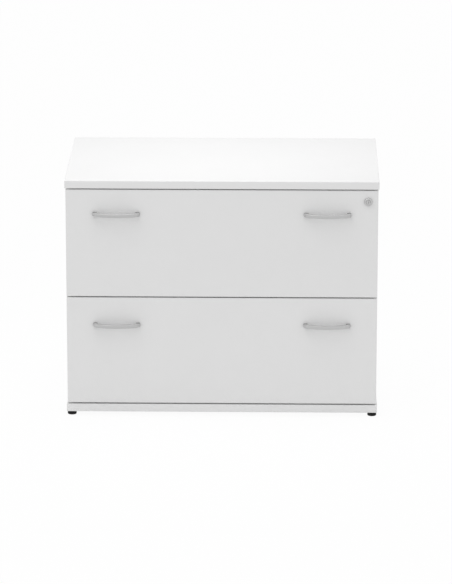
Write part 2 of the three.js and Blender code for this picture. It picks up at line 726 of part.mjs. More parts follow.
// The whole cabinet, moved so that the origin is the middle of the box that includes the handles
const cabinet = new THREE.Group();
cabinet.name = "lateral_filing_cabinet";
addCarcass(cabinet);
addFeet(cabinet);
addDrawer(cabinet, "lower", lowerFrontBottom, LOWER_HANDLE_BELOW_EDGE, []);
addDrawer(cabinet, "upper", upperFrontBottom, UPPER_HANDLE_BELOW_EDGE, [lockHole()]);
addLock(cabinet);
addLockBar(cabinet);
const handleReach = HANDLE_PROJECTION + HANDLE_SEAT - PANEL_OVERHANG;
cabinet.position.y = handleReach / 2;

const assembly = new THREE.Group();
assembly.add(cabinet);

export default assembly;
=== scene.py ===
import math

import bmesh
import bpy
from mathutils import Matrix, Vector


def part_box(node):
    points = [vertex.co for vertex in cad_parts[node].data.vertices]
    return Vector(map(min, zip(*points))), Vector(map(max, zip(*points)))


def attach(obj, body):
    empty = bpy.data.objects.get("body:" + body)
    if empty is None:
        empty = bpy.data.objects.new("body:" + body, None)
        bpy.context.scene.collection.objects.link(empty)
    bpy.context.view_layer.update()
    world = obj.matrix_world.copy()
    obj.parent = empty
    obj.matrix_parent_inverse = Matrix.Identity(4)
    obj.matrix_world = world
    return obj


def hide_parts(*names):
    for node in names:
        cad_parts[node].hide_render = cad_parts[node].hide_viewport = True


# Two-drawer lateral filing cabinet in white faced board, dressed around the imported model.
# Lengths are in metres, +Z is up and the drawers open towards -Y.
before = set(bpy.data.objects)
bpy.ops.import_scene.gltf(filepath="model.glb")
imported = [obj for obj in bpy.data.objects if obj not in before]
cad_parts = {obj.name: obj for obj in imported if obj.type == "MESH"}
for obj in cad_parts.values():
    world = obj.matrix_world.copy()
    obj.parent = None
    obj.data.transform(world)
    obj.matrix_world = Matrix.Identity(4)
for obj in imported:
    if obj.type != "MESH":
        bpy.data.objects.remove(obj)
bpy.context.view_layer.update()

MM = 0.001
LEVELS = ("lower", "upper")
HANDS = ("left", "right")
LEVEL_STEP = 356.0 * MM
FEET = ("front_left", "front_right", "rear_left", "rear_right")


def mm(*lengths):
    return Vector(lengths) * MM


# Shader maths: a wire is a node's output that Python's operators can work on
class Wire:
    def __init__(self, finish, socket):
        self.finish = finish
        self.socket = socket

    def maths(self, operation, first, second):
        return self.finish.node("Math", {"operation": operation}, {0: first, 1: second})

    def __add__(self, other):
        return self.maths("ADD", self, other)

    def __radd__(self, other):
        return self.maths("ADD", other, self)

    def __sub__(self, other):
        return self.maths("SUBTRACT", self, other)

    def __rsub__(self, other):
        return self.maths("SUBTRACT", other, self)

    def __mul__(self, other):
        return self.maths("MULTIPLY", self, other)

    def __rmul__(self, other):
        return self.maths("MULTIPLY", other, self)

    def __gt__(self, other):
        return self.maths("GREATER_THAN", self, other)


class Finish:
    """One material, whose nodes are added a call at a time."""

    def __init__(self, name, tree=None):
        if tree is None:
            self.material = bpy.data.materials.new(name)
            self.material.use_nodes = True
            tree = self.material.node_tree
        tree.nodes.clear()
        self.tree = tree

    def node(self, kind, settings=None, sockets=None, out=0):
        made = self.tree.nodes.new("ShaderNode" + kind)
        for key, value in (settings or {}).items():
            setattr(made, key, value)
        for key, value in (sockets or {}).items():
            if isinstance(value, Wire):
                self.tree.links.new(value.socket, made.inputs[key])
            else:
                made.inputs[key].default_value = value
        return Wire(self, made.outputs[out])

    def place(self, stretch=(1, 1, 1)):
        """Object coordinates, stretched where a pattern runs along the piece."""
        coordinates = self.node("TexCoord", out="Object")
        return self.node("Mapping", sockets={"Vector": coordinates, "Scale": stretch})

    def noise(self, where, scale, detail=2.0, roughness=0.5):
        return self.node(
            "TexNoise",
            sockets={"Vector": where, "Scale": scale, "Detail": detail, "Roughness": roughness},
        )

    def blend(self, share, first, second):
        """A colour between two greys or tints."""
        mix = {"data_type": "RGBA", "clamp_factor": True}
        return self.node("Mix", mix, {0: share, 6: (*first, 1.0), 7: (*second, 1.0)}, out=2)

    def bumps(self, height, strength, distance):
        return self.node("Bump", sockets={"Height": height, "Strength": strength, "Distance": distance})

    def surface(self, **sockets):
        named = {}
        for key, value in sockets.items():
            named[key.replace("_", " ").title().replace("Ior", "IOR")] = value
        shader = self.node("BsdfPrincipled", sockets=named)
        self.node_output(shader)
        return self.material

    def node_output(self, shader, kind="OutputMaterial"):
        made = self.tree.nodes.new("ShaderNode" + kind)
        self.tree.links.new(shader.socket, made.inputs["Surface"])


def grey(level):
    return (level, level, level)


def even(scale):
    """The stretch of a pattern that is the same along every axis."""
    return (scale, scale, scale)


def between(low, high, share):
    """A value that goes from low to high as the share goes from 0 to 1."""
    return low + (high - low) * share


# Finishes
BOARD_GREY = 0.79
BOARD_CLOUDING = 0.012
BOARD_GLOSS = 0.4
EDGING_GREY = 0.796
EDGING_CLOUDING = 0.01
EDGING_LINES = (4.0, 4.0, 900.0)
CHIP_DARK = (0.42, 0.31, 0.19)
CHIP_PALE = (0.62, 0.49, 0.33)
CHIP_DUST = 0.4
METAL_LINES_SHARE = 0.6
METAL_LINES_ROUGHNESS = 0.14
METAL_CLOUDS_POLISH = 0.05
PLASTIC_GLOSS = 0.14
PLASTIC_GRAIN_ROUGHNESS = 0.16
ALONG_X = (4.0, 900.0, 900.0)
ALONG_Y = (900.0, 4.0, 900.0)
ALONG_Z = (900.0, 900.0, 4.0)
HANDLE_METAL_SHARE = 0.45
# The dark grey is what the painted shade at the handles' feet reaches; the lines mix a little of it too
HANDLE_PAINTED_SHADE_GREY = grey(0.13)
HANDLE_BRIGHT = grey(0.58)
HANDLE_PAINTED_SHADE_DEPTH = 12.0 * MM
HANDLE_PAINTED_SHADE_STRENGTH = 0.9


def faced_board():
    """Melamine paper on chipboard: a fine pearl grain and the faintest clouding."""
    finish = Finish("white_melamine")
    where = finish.place()
    pearl = finish.noise(where, scale=900.0, detail=3.0)
    clouds = finish.noise(where, scale=7.0, detail=4.0, roughness=0.6)
    dark, pale = grey(BOARD_GREY - BOARD_CLOUDING), grey(BOARD_GREY + BOARD_CLOUDING)
    return finish.surface(
        base_color=finish.blend(clouds, dark, pale),
        roughness=between(0.44, 0.56, pearl),
        specular_ior_level=BOARD_GLOSS,
        normal=finish.bumps(pearl, strength=0.12, distance=0.15 * MM),
    )


def edging_strip():
    """Plastic edging: smoother than the faces, with faint lines along the strip."""
    finish = Finish("white_edging")
    lines = finish.noise(finish.place(EDGING_LINES), scale=1.0)
    clouds = finish.noise(finish.place(), scale=11.0, detail=3.0)
    dark, pale = grey(EDGING_GREY - EDGING_CLOUDING), grey(EDGING_GREY + EDGING_CLOUDING)
    return finish.surface(
        base_color=finish.blend(clouds, dark, pale),
        roughness=between(0.36, 0.46, lines),
        specular_ior_level=BOARD_GLOSS,
        normal=finish.bumps(lines, strength=0.05, distance=0.1 * MM),
    )


def glue_line():
    finish = Finish("edging_glue_line")
    specks = finish.noise(finish.place(), scale=700.0)
    colour = finish.blend(specks, grey(0.52), grey(0.64))
    return finish.surface(base_color=colour, roughness=between(0.6, 0.7, specks))


def chipboard():
    """Bare board in the grooves: pale glued chips of several sizes."""
    finish = Finish("bare_chipboard")
    where = finish.place()
    chips = finish.node("TexVoronoi", sockets={"Vector": where, "Scale": 420.0}, out="Distance")
    dust = finish.noise(where, scale=1300.0, detail=3.0)
    return finish.surface(
        base_color=finish.blend(chips + CHIP_DUST * dust, CHIP_DARK, CHIP_PALE),
        roughness=between(0.8, 0.9, dust),
        normal=finish.bumps(chips, strength=0.4, distance=0.4 * MM),
    )


def satin_metal(name, dark, light, rough, stretch, bump):
    """Metal with fine drawn lines along one direction and slow changes of tone."""
    finish = Finish(name)
    lines = finish.noise(finish.place(stretch), scale=1.0, detail=3.0, roughness=0.6)
    clouds = finish.noise(finish.place(), scale=26.0, detail=3.0)
    tone = METAL_LINES_SHARE * lines + (1 - METAL_LINES_SHARE) * clouds
    return finish.surface(
        base_color=finish.blend(tone, dark, light),
        metallic=1.0,
        roughness=rough + METAL_LINES_ROUGHNESS * lines - METAL_CLOUDS_POLISH * clouds,
        normal=finish.bumps(lines, strength=bump, distance=0.08 * MM),
    )


def handle_plating():
    """Satin silver on the handles, with painted shade that darkens it towards the feet, in the corners
    where the legs meet the drawer front.
    """
    finish = Finish("handle_silver")
    feet_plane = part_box("upper_left_handle")[1].y
    lines = finish.noise(finish.place(ALONG_X), scale=1.0, detail=3.0, roughness=0.6)
    across = finish.node("SeparateXYZ", sockets={0: finish.place()}, out="Y")
    # Painted shade: a mask that rises towards the plane of the feet and darkens the silver there
    painted_shade = finish.node(
        "MapRange",
        {"interpolation_type": "SMOOTHSTEP"},
        {"Value": across, "From Min": feet_plane - HANDLE_PAINTED_SHADE_DEPTH, "From Max": feet_plane},
    )
    lines_and_painted_shade = between(0.8, 1.0, lines) - HANDLE_PAINTED_SHADE_STRENGTH * painted_shade
    return finish.surface(
        base_color=finish.blend(lines_and_painted_shade, HANDLE_PAINTED_SHADE_GREY, HANDLE_BRIGHT),
        metallic=HANDLE_METAL_SHARE,
        roughness=between(0.36, 0.5, lines),
        normal=finish.bumps(lines, strength=0.08, distance=0.08 * MM),
    )


def powder_coat():
    """White paint baked on the steel rails, with its orange peel."""
    finish = Finish("white_powder_coat")
    where = finish.place()
    peel = finish.noise(where, scale=520.0)
    clouds = finish.noise(where, scale=15.0, detail=3.0)
    return finish.surface(
        base_color=finish.blend(clouds, grey(0.66), grey(0.71)),
        roughness=between(0.34, 0.48, peel),
        normal=finish.bumps(peel, strength=0.25, distance=0.2 * MM),
    )


def moulded_plastic(name, dark, light, rough):
    """Moulded plastic with a fine spark-eroded grain."""
    finish = Finish(name)
    where = finish.place()
    grain = finish.noise(where, scale=1500.0, detail=3.0)
    clouds = finish.noise(where, scale=60.0, detail=3.0)
    return finish.surface(
        base_color=finish.blend(between(grain, clouds, 0.5), dark, light),
        roughness=between(rough, rough + PLASTIC_GRAIN_ROUGHNESS, grain),
        specular_ior_level=PLASTIC_GLOSS,
        normal=finish.bumps(grain, strength=0.22, distance=0.2 * MM),
    )


MELAMINE = faced_board()
EDGING = edging_strip()
GLUE_LINE = glue_line()
CHIPBOARD = chipboard()
HANDLE_SILVER = handle_plating()
HANDLE_CASTING = moulded_plastic("handle_raw_casting", grey(0.05), grey(0.09), 0.6)
LOCK_NICKEL = satin_metal("lock_nickel", grey(0.5), grey(0.62), 0.26, even(500.0), 0.05)
RUNNER_ZINC = satin_metal("runner_zinc", (0.52, 0.535, 0.56), (0.64, 0.65, 0.67), 0.3, ALONG_Y, 0.1)
FITTING_ZINC = satin_metal("fitting_zinc", (0.5, 0.51, 0.53), (0.62, 0.63, 0.64), 0.34, even(320.0), 0.1)
BALL_STEEL = satin_metal("ball_steel", grey(0.6), grey(0.7), 0.14, even(400.0), 0.02)
BAR_ALUMINIUM = satin_metal("bar_aluminium", grey(0.56), grey(0.68), 0.38, ALONG_Z, 0.1)
RAIL_PAINT = powder_coat()
FOOT_BLACK = moulded_plastic("foot_black_plastic", grey(0.008), grey(0.02), 0.42)
BUFFER_BLACK = moulded_plastic("buffer_black_plastic", grey(0.012), grey(0.03), 0.5)
CAP_WHITE = moulded_plastic("cap_white_plastic", grey(0.7), grey(0.76), 0.36)

# Modelling steps shared by the pieces
FACING = 0.999
SOLID_MERGE = 0.01 * MM
FLAT_ANGLE = math.radians(1)
BOARD_ANGLE = 30


def take(piece):
    """Makes a piece the only one selected."""
    bpy.ops.object.select_all(action="DESELECT")
    piece.select_set(True)
    bpy.context.view_layer.objects.active = piece
    return piece


def settle(piece):
    """Puts a piece's place, turn and size into its mesh."""
    take(piece)
    bpy.ops.object.transform_apply(location=True, rotation=True, scale=True)
    return piece


def called(name):
    piece = bpy.context.object
    piece.name = name
    piece.data.name = name
    return settle(piece)


def block(name, low, high):
    bpy.ops.object.select_all(action="DESELECT")
    low, high = Vector(low), Vector(high)
    bpy.ops.mesh.primitive_cube_add(size=1, location=(low + high) / 2, scale=high - low)
    return called(name)


def block_about(name, middle, reach):
    """A block that reaches equally far on both sides of its middle."""
    return block(name, middle - reach, middle + reach)


def rod(name, radius, start, end, sides=32):
    """A round bar between two points on its axis."""
    bpy.ops.object.select_all(action="DESELECT")
    start, end = Vector(start), Vector(end)
    along = end - start
    turn = along.to_track_quat("Z", "Y").to_euler()
    bpy.ops.mesh.primitive_cylinder_add(
        vertices=sides, radius=radius, depth=along.length, location=(start + end) / 2, rotation=turn
    )
    return called(name)


def disc(name, radius, sides, middle, turn=(0, 0, 0)):
    """A filled circle from which a turned piece is drawn out."""
    bpy.ops.object.select_all(action="DESELECT")
    bpy.ops.mesh.primitive_circle_add(
        vertices=sides, radius=radius, fill_type="NGON", location=middle, rotation=turn
    )
    return called(name)


def modify(piece, kind, **settings):
    take(piece)
    modifier = piece.modifiers.new(kind.title(), kind)
    for key, value in settings.items():
        setattr(modifier, key, value)
    bpy.ops.object.modifier_apply(modifier=modifier.name)
    return piece


def rounded(piece, width, segments=2, angle=35):
    """Breaks the sharp edges of a piece with a small radius."""
    return modify(
        piece,
        "BEVEL",
        width=width,
        segments=segments,
        limit_method="ANGLE",
        angle_limit=math.radians(angle),
        use_clamp_overlap=True,
    )


def smooth(piece, angle=40):
    take(piece)
    bpy.ops.object.shade_smooth_by_angle(angle=math.radians(angle))
    return piece


def flattened(piece):
    """Smooths the rounded edges of a board and keeps its broad faces flat in the light."""
    return modify(smooth(piece, BOARD_ANGLE), "WEIGHTED_NORMAL", keep_sharp=True)


def cut_out(piece, *tools):
    """Takes the tools' shapes out of a piece and throws the tools away."""
    for tool in tools:
        modify(piece, "BOOLEAN", operation="DIFFERENCE", solver="EXACT", object=tool)
        bpy.data.objects.remove(tool)
    return piece


def joined(name, *pieces):
    take(pieces[0])
    for piece in pieces:
        piece.select_set(True)
    bpy.ops.object.join()
    return called(name)


def edit(piece):
    take(piece)
    bpy.ops.object.mode_set(mode="EDIT")
    bpy.ops.mesh.select_mode(type="FACE")
    bpy.ops.mesh.select_all(action="DESELECT")


def done():
    bpy.ops.object.mode_set(mode="OBJECT")


def face_outwards():
    """Selects all of a mesh in edit mode and turns its faces outwards."""
    bpy.ops.mesh.select_all(action="SELECT")
    bpy.ops.mesh.normals_make_consistent(inside=False)


def draw_out(shift):
    bpy.ops.mesh.extrude_region_move(TRANSFORM_OT_translate={"value": shift})


def pick_faces(piece, wanted):
    """Selects, in edit mode, the faces whose middle and normal pass a test."""
    bpy.ops.mesh.select_all(action="DESELECT")
    mesh = bmesh.from_edit_mesh(piece.data)
    for face in mesh.faces:
        face.select_set(wanted(face.calc_center_median(), face.normal))
    bmesh.update_edit_mesh(piece.data)


def mark_selected(piece, index):
    """Gives the faces selected in edit mode one of the piece's materials."""
    mesh = bmesh.from_edit_mesh(piece.data)
    for face in mesh.faces:
        if face.select:
            face.material_index = index
    bmesh.update_edit_mesh(piece.data)


def coloured(piece, *materials, choose=None):
    """Gives a piece its materials, and picks one of them for each face where asked."""
    piece.data.materials.clear()
    for material in materials:
        piece.data.materials.append(material)
    if choose:
        for face in piece.data.polygons:
            face.material_index = choose(face)
    return piece


def copied(piece, name, move=(0, 0, 0), mirror=False):
    """A copy with its own mesh, moved, and mirrored across the cabinet where asked."""
    take(piece)
    bpy.ops.object.duplicate()
    twin = bpy.context.object
    twin.location = move
    if mirror:
        twin.scale = (-1, 1, 1)
    called(name)
    if mirror:
        edit(twin)
        face_outwards()
        done()
    return twin


def fitted(piece, body, slot, *nodes):
    """Parents a finished piece to the body that carries it and hides the imported solids that it stands
    for.
    """
    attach(piece, body)
    if nodes:
        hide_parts(*nodes)
    return piece


def from_solid(name, node):
    """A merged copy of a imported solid, to be given its edges and finish."""
    piece = bpy.data.objects.new(name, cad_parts[node].data.copy())
    bpy.context.scene.collection.objects.link(piece)
    piece.data.name = name
    edit(piece)
    bpy.ops.mesh.select_all(action="SELECT")
    bpy.ops.mesh.remove_doubles(threshold=SOLID_MERGE)
    bpy.ops.mesh.dissolve_limited(angle_limit=FLAT_ANGLE)
    done()
    return piece


# Boards
ARRIS = 1.5 * MM
ARRIS_SEGMENTS = 4
EDGING_WIDTH = 2.0 * MM
GLUE_WIDTH = 0.15 * MM
SIDE_ARRIS = 0.8 * MM
THIN_ARRIS = 0.5 * MM
SKIN = 1.0 * MM
STUD_CLEARANCE = 0.3 * MM
STUD_HOLE_SIDES = 24
ACROSS = {"y": Vector((0, 1, 0)), "z": Vector((0, 0, 1))}


def edged_board(name, node, thin, holes=()):
    """A board with plastic edging on its four narrow sides and a glue line where it meets the faces."""
    across = ACROSS[thin]
    piece = rounded(block(name, *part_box(node)), ARRIS, ARRIS_SEGMENTS)

    def broad(normal):
        return abs(normal.dot(across)) > FACING

    coloured(piece, MELAMINE, EDGING, GLUE_LINE, choose=lambda face: 0 if broad(face.normal) else 1)
    edit(piece)
    pick_faces(piece, lambda middle, normal: broad(normal))
    bpy.ops.mesh.inset(thickness=EDGING_WIDTH - ARRIS, use_select_inset=True)
    mark_selected(piece, 1)
    pick_broad_face(piece, across)
    bpy.ops.mesh.inset(thickness=GLUE_WIDTH, use_select_inset=True)
    mark_selected(piece, 2)
    done()
    cut_out(piece, *holes)
    return flattened(piece)


def pick_broad_face(piece, across):
    """Selects the largest face on each side of a board."""
    bpy.ops.mesh.select_all(action="DESELECT")
    mesh = bmesh.from_edit_mesh(piece.data)
    for side in (1, -1):
        facing = [face for face in mesh.faces if side * face.normal.dot(across) > FACING]
        max(facing, key=lambda face: face.calc_area()).select_set(True)
    bmesh.update_edit_mesh(piece.data)


def plain_board(name, node, body):
    board = rounded(block(name, *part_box(node)), THIN_ARRIS)
    coloured(board, MELAMINE)
    fitted(flattened(board), body, "white_board", node)


def stud_holes():
    holes = []
    for foot in FEET:
        low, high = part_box(f"{foot}_foot_stud")
        middle = (low + high) / 2
        radius = (high.x - low.x) / 2 + STUD_CLEARANCE
        start = (middle.x, middle.y, low.z)
        end = (middle.x, middle.y, high.z + STUD_CLEARANCE)
        holes.append(rod("stud_hole", radius, start, end, STUD_HOLE_SIDES))
    return holes


def side_board_finish(low, high):
    """Chooses edging at the front and rear, facing on the broad faces and bare board in the grooves."""

    def choose(face):
        middle = face.center
        if min(middle.y - low.y, high.y - middle.y) < EDGING_WIDTH:
            return 1
        return 0 if min(middle.x - low.x, high.x - middle.x) < SKIN else 2

    return choose


def box_side_finish(top):
    """Chooses edging along the top of a drawer's side, and facing elsewhere."""
    return lambda face: 1 if face.center.z > top - SKIN else 0


def make_carcass():
    top = edged_board("top_board", "top_panel", "z")
    fitted(top, "carcass", "white_board", "top_panel")
    base = edged_board("base_board", "base_panel", "z", stud_holes())
    fitted(base, "carcass", "white_board", "base_panel")
    for hand in HANDS:
        node = f"{hand}_side_panel"
        side = rounded(from_solid(f"{hand}_side_board", node), SIDE_ARRIS)
        coloured(side, MELAMINE, EDGING, CHIPBOARD, choose=side_board_finish(*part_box(node)))
        fitted(flattened(side), "carcass", "white_board", node)
    plain_board("back_board", "back_panel", "carcass")


# Drawers
LOCK_HOLE_RADIUS = 9.8 * MM
LOCK_HOLE_SIDES = 48
RAIL_ROUNDING = 1.2 * MM
RAIL_SEGMENTS = 3


def lock_hole():
    low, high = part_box("lock_plug")
    middle = (low + high) / 2
    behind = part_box("lock_nut")[1].y
    ends = (middle.x, low.y, middle.z), (middle.x, behind, middle.z)
    return rod("lock_hole", LOCK_HOLE_RADIUS, *ends, LOCK_HOLE_SIDES)


def make_drawer_boards(level):
    body = f"{level}_drawer"
    holes = [lock_hole()] if level == "upper" else []
    front = edged_board(f"{level}_front_board", f"{level}_drawer_front", "y", holes)
    fitted(front, body, "white_board", f"{level}_drawer_front")
    for hand in HANDS:
        node = f"{level}_drawer_{hand}_side"
        side = rounded(from_solid(f"{level}_{hand}_box_side", node), THIN_ARRIS)
        coloured(side, MELAMINE, EDGING, choose=box_side_finish(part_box(node)[1].z))
        fitted(flattened(side), body, "white_board", node)
    for part in ("back", "bottom"):
        plain_board(f"{level}_box_{part}", f"{level}_drawer_{part}", body)
    for where in ("front", "rear"):
        node = f"{level}_{where}_file_rail"
        rail = block(f"{level}_{where}_hanging_rail", *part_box(node))
        coloured(rounded(rail, RAIL_ROUNDING, RAIL_SEGMENTS), RAIL_PAINT)
        fitted(flattened(rail), body, "white_steel", node)


# Bow handles: the line in plan and the sizes of the foot and leg are in millimetres
HANDLE_FOOT = (12.6, 11.5)
HANDLE_LEG = ((-0.8, 12.1), (-2.0, 11.9), (-4.0, 12.0))
HANDLE_LEG_LEAN = 1.0
HANDLE_CORNER_STEPS = 8
HANDLE_BOW_STEPS = 14
HANDLE_END_DEPTH = 19.0
HANDLE_MIDDLE_DEPTH = 27.8
HANDLE_BOW_END = 55.0
HANDLE_FOOT_X = 68.2
HANDLE_OUTER_ROUNDING = 2.0 * MM
HANDLE_OUTER_SEGMENTS = 6
HANDLE_INNER_ROUNDING = 1.4 * MM
HANDLE_INNER_SEGMENTS = 3
HANDLE_SHARP_EDGE = math.radians(60)
HANDLE_SIDE_LIMIT = 0.2
HANDLE_WALL = 0.6 * MM
HANDLE_HOLLOW_DEPTH = 6.0 * MM
HANDLE_HOLLOW_END = 54.0 * MM
HANDLE_REAR_FACING = 0.85
HANDLE_MERGE = 0.02 * MM
HANDLE_MIRROR_MERGE = 0.1 * MM
HANDLE_FOOT_PLANE = 0.1 * MM
HANDLE_SMOOTHING = 50
TOWARDS_MIDDLE = Vector((-1, 0, 0))


def handle_line():
    """The middle line of half a handle in plan, from the leg round the corner to the middle of the bow."""
    bow = HANDLE_MIDDLE_DEPTH - HANDLE_END_DEPTH
    leg_end = Vector((HANDLE_FOOT_X + HANDLE_LEG_LEAN, HANDLE_LEG[-1][0], 0))
    bow_start = Vector((HANDLE_BOW_END, -HANDLE_END_DEPTH, 0))
    slope = 2 * bow / HANDLE_BOW_END
    painted_shade = Vector((leg_end.x, bow_start.y + slope * (leg_end.x - bow_start.x), 0))
    line = [leg_end]
    for step in range(1, HANDLE_CORNER_STEPS + 1):
        share = step / HANDLE_CORNER_STEPS
        line.append(leg_end.lerp(painted_shade, share).lerp(painted_shade.lerp(bow_start, share), share))
    for step in range(1, HANDLE_BOW_STEPS + 1):
        x = HANDLE_BOW_END * (1 - step / HANDLE_BOW_STEPS)
        line.append(Vector((x, -HANDLE_MIDDLE_DEPTH + bow * (x / HANDLE_BOW_END) ** 2, 0)))
    return line


def pick_handle_edges(piece, outside):
    """Selects the long edges on the outside of the bow (1) or on the finger side (-1)."""
    bpy.ops.mesh.select_mode(type="EDGE")
    bpy.ops.mesh.select_all(action="DESELECT")
    mesh = bmesh.from_edit_mesh(piece.data)
    mesh.normal_update()
    for edge in mesh.edges:
        if len(edge.link_faces) == 2 and edge.calc_face_angle() > HANDLE_SHARP_EDGE:
            side = min((face.normal for face in edge.link_faces), key=lambda normal: abs(normal.z))
            middle = (edge.verts[0].co + edge.verts[1].co) / 2
            outwards = math.copysign(side.x, side.x * middle.x) - side.y
            edge.select_set(outside * outwards > HANDLE_SIDE_LIMIT)
    bmesh.update_edit_mesh(piece.data)


def draw_handle_leg(foot):
    """Draws the foot's face out into a leg, and says where the leg ends."""
    reached, broad = foot, HANDLE_FOOT[0]
    for depth, breadth in HANDLE_LEG:
        across = HANDLE_FOOT_X + HANDLE_LEG_LEAN * depth / HANDLE_LEG[-1][0]
        middle = mm(across, depth, 0)
        draw_out(middle - reached)
        bpy.ops.transform.resize(value=(breadth / broad, 1, 1), center_override=middle)
        reached, broad = middle, breadth
    return reached


def draw_handle_bow(reached):
    """Draws the leg's end on round the corner to the middle of the bow, square to its line."""
    line = handle_line()
    heading = Vector((0, -1, 0))
    for index in range(1, len(line)):
        middle = line[index] * MM
        at_middle = index + 1 == len(line)
        turned = TOWARDS_MIDDLE if at_middle else (line[index + 1] - line[index - 1]).normalized()
        draw_out(middle - reached)
        angle = heading.xy.angle_signed(turned.xy)
        bpy.ops.transform.rotate(value=angle, orient_axis="Z", center_override=middle)
        reached, heading = middle, turned


def make_handle():
    """One handle standing on the plane y = 0, drawn out from its foot, mirrored, and hollowed behind."""
    bpy.ops.object.select_all(action="DESELECT")
    width, height = HANDLE_FOOT
    foot = mm(HANDLE_FOOT_X, 0, 0)
    bpy.ops.mesh.primitive_plane_add(size=1, location=foot, rotation=(math.pi / 2, 0, 0))
    piece = called("bow_handle")
    edit(piece)
    bpy.ops.mesh.select_all(action="SELECT")
    bpy.ops.transform.resize(value=(width * MM, 1, height * MM), center_override=foot)
    draw_handle_bow(draw_handle_leg(foot))
    bpy.ops.mesh.delete(type="FACE")
    done()
    modify(piece, "MIRROR", use_axis=(True, False, False), merge_threshold=HANDLE_MIRROR_MERGE)
    coloured(piece, HANDLE_SILVER, HANDLE_CASTING)
    edit(piece)
    bpy.ops.mesh.select_all(action="SELECT")
    bpy.ops.mesh.remove_doubles(threshold=HANDLE_MERGE)
    bpy.ops.mesh.normals_make_consistent(inside=False)
    pick_faces(piece, lambda middle, normal: normal.y > FACING and middle.y > -HANDLE_FOOT_PLANE)
    bpy.ops.mesh.delete(type="ONLY_FACE")
    pick_handle_edges(piece, 1)
    bpy.ops.mesh.bevel(offset=HANDLE_OUTER_ROUNDING, segments=HANDLE_OUTER_SEGMENTS)
    pick_handle_edges(piece, -1)
    bpy.ops.mesh.bevel(offset=HANDLE_INNER_ROUNDING, segments=HANDLE_INNER_SEGMENTS)
    bpy.ops.mesh.select_all(action="SELECT")
    bpy.ops.mesh.fill_holes(sides=0)
    bpy.ops.mesh.normals_make_consistent(inside=False)
    bpy.ops.mesh.select_mode(type="FACE")
    pick_faces(
        piece, lambda middle, normal: normal.y > HANDLE_REAR_FACING and abs(middle.x) < HANDLE_HOLLOW_END
    )
    bpy.ops.mesh.inset(thickness=HANDLE_WALL, use_boundary=True)
    mark_selected(piece, 1)
    draw_out((0, -HANDLE_HOLLOW_DEPTH, 0))
    done()
    return smooth(piece, HANDLE_SMOOTHING)


# Screws: radius and height of the head, and the shares that its dome and cross recess take of them
HANDLE_SCREW = (4.2 * MM, 2.4 * MM)
GUIDE_SCREW = (2.6 * MM, 1.0 * MM)
BOX_SCREW = (3.6 * MM, 0.8 * MM)
RUNNER_SCREW = (3.4 * MM, 1.7 * MM)
SCREW_SIDES = 24
SCREW_DOME = 0.7
SCREW_DOME_SEGMENTS = 4
SCREW_EDGE_ANGLE = math.radians(60)
SCREW_ANGLE = 35
RECESS_LENGTH = 0.55
RECESS_WIDTH = 0.13
RECESS_DEPTH = 0.45


def pan_screw(name, size, at, towards):
    """A round-headed screw with a cross recess, standing on a face."""
    radius, height = size
    at, towards = Vector(at), Vector(towards)
    face = at + towards * height
    head = rod(name, radius, at, face, SCREW_SIDES)
    modify(
        head,
        "BEVEL",
        width=height * SCREW_DOME,
        segments=SCREW_DOME_SEGMENTS,
        limit_method="ANGLE",
        angle_limit=SCREW_EDGE_ANGLE,
    )
    side = towards.orthogonal().normalized()
    for line in (side, towards.cross(side)):
        length = line * radius * RECESS_LENGTH
        width = towards.cross(line) * radius * RECESS_WIDTH
        depth = towards * height * RECESS_DEPTH
        cut_out(head, block_about("recess", face, Vector(map(abs, length + width + depth))))
    return coloured(smooth(head, SCREW_ANGLE), FITTING_ZINC)


def make_handles():
    handle = make_handle()
    for level in LEVELS:
        for hand in HANDS:
            node = f"{level}_{hand}_handle"
            low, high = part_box(node)
            place = Vector(((low.x + high.x) / 2, high.y, (low.z + high.z) / 2))
            twin = copied(handle, f"{level}_{hand}_bow_handle", place)
            fitted(twin, f"{level}_drawer", "satin_silver", node)
            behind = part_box(f"{level}_drawer_front")[1].y
            screws = []
            for end in (-1, 1):
                at = (place.x + end * HANDLE_FOOT_X * MM, behind, place.z)
                screws.append(pan_screw("handle_screw", HANDLE_SCREW, at, (0, 1, 0)))
            fixings = joined(f"{level}_{hand}_handle_screws", *screws)
            fitted(fixings, f"{level}_drawer", "zinc_plate")
    bpy.data.objects.remove(handle)


# Lock: turned profiles give a radius and a depth behind the face in millimetres
LOCK_BORE = 6.8 * MM
BARREL_RADIUS = 9.5 * MM
BARREL_END_RADIUS = 9.2 * MM
ROSE_RADIUS = 13.0 * MM
ROSE_BACK_RADIUS = 12.6 * MM
ROSE_EDGE = 0.4 * MM
ROSE_GAP = 0.3 * MM
ROSE_FACE = ((13.0, 2.4), (12.6, 1.3), (11.6, 0.35), (10.6, 0.0), (8.4, 0.0), (7.9, 0.5), (6.8, 0.5))
PLUG_RADIUS = 6.5 * MM
PLUG_END_RADIUS = 6.2 * MM
PLUG_EDGE = 0.3 * MM
PLUG_FACE = ((6.5, 0.7), (6.2, 0.2), (5.6, 0.0), (4.9, 0.3))
PLUG_SIDES = 48
KEYWAY = mm(1.1, 9.0, 4.0)
WARD = mm(1.7, 9.0, 0.7)
WARD_PLACE = mm(0.6, 0.0, 1.4)
NUT_RADIUS = 12.5 * MM
NUT_SIDES = 6
NUT_ROUNDING = 0.7 * MM
NUT_BORE_SIDES = 48
LOCK_MERGE = 0.005 * MM
SAME_PLANE = 0.01 * MM
CAM_ROUNDING = 0.3 * MM
BAR_ROUNDING = 0.4 * MM
GUIDE_ROUNDING = 0.35 * MM
GUIDE_SCREW_FROM_END = 4.0 * MM
STRIKER_ROUNDING = 0.3 * MM
FITTING_ANGLE = 30


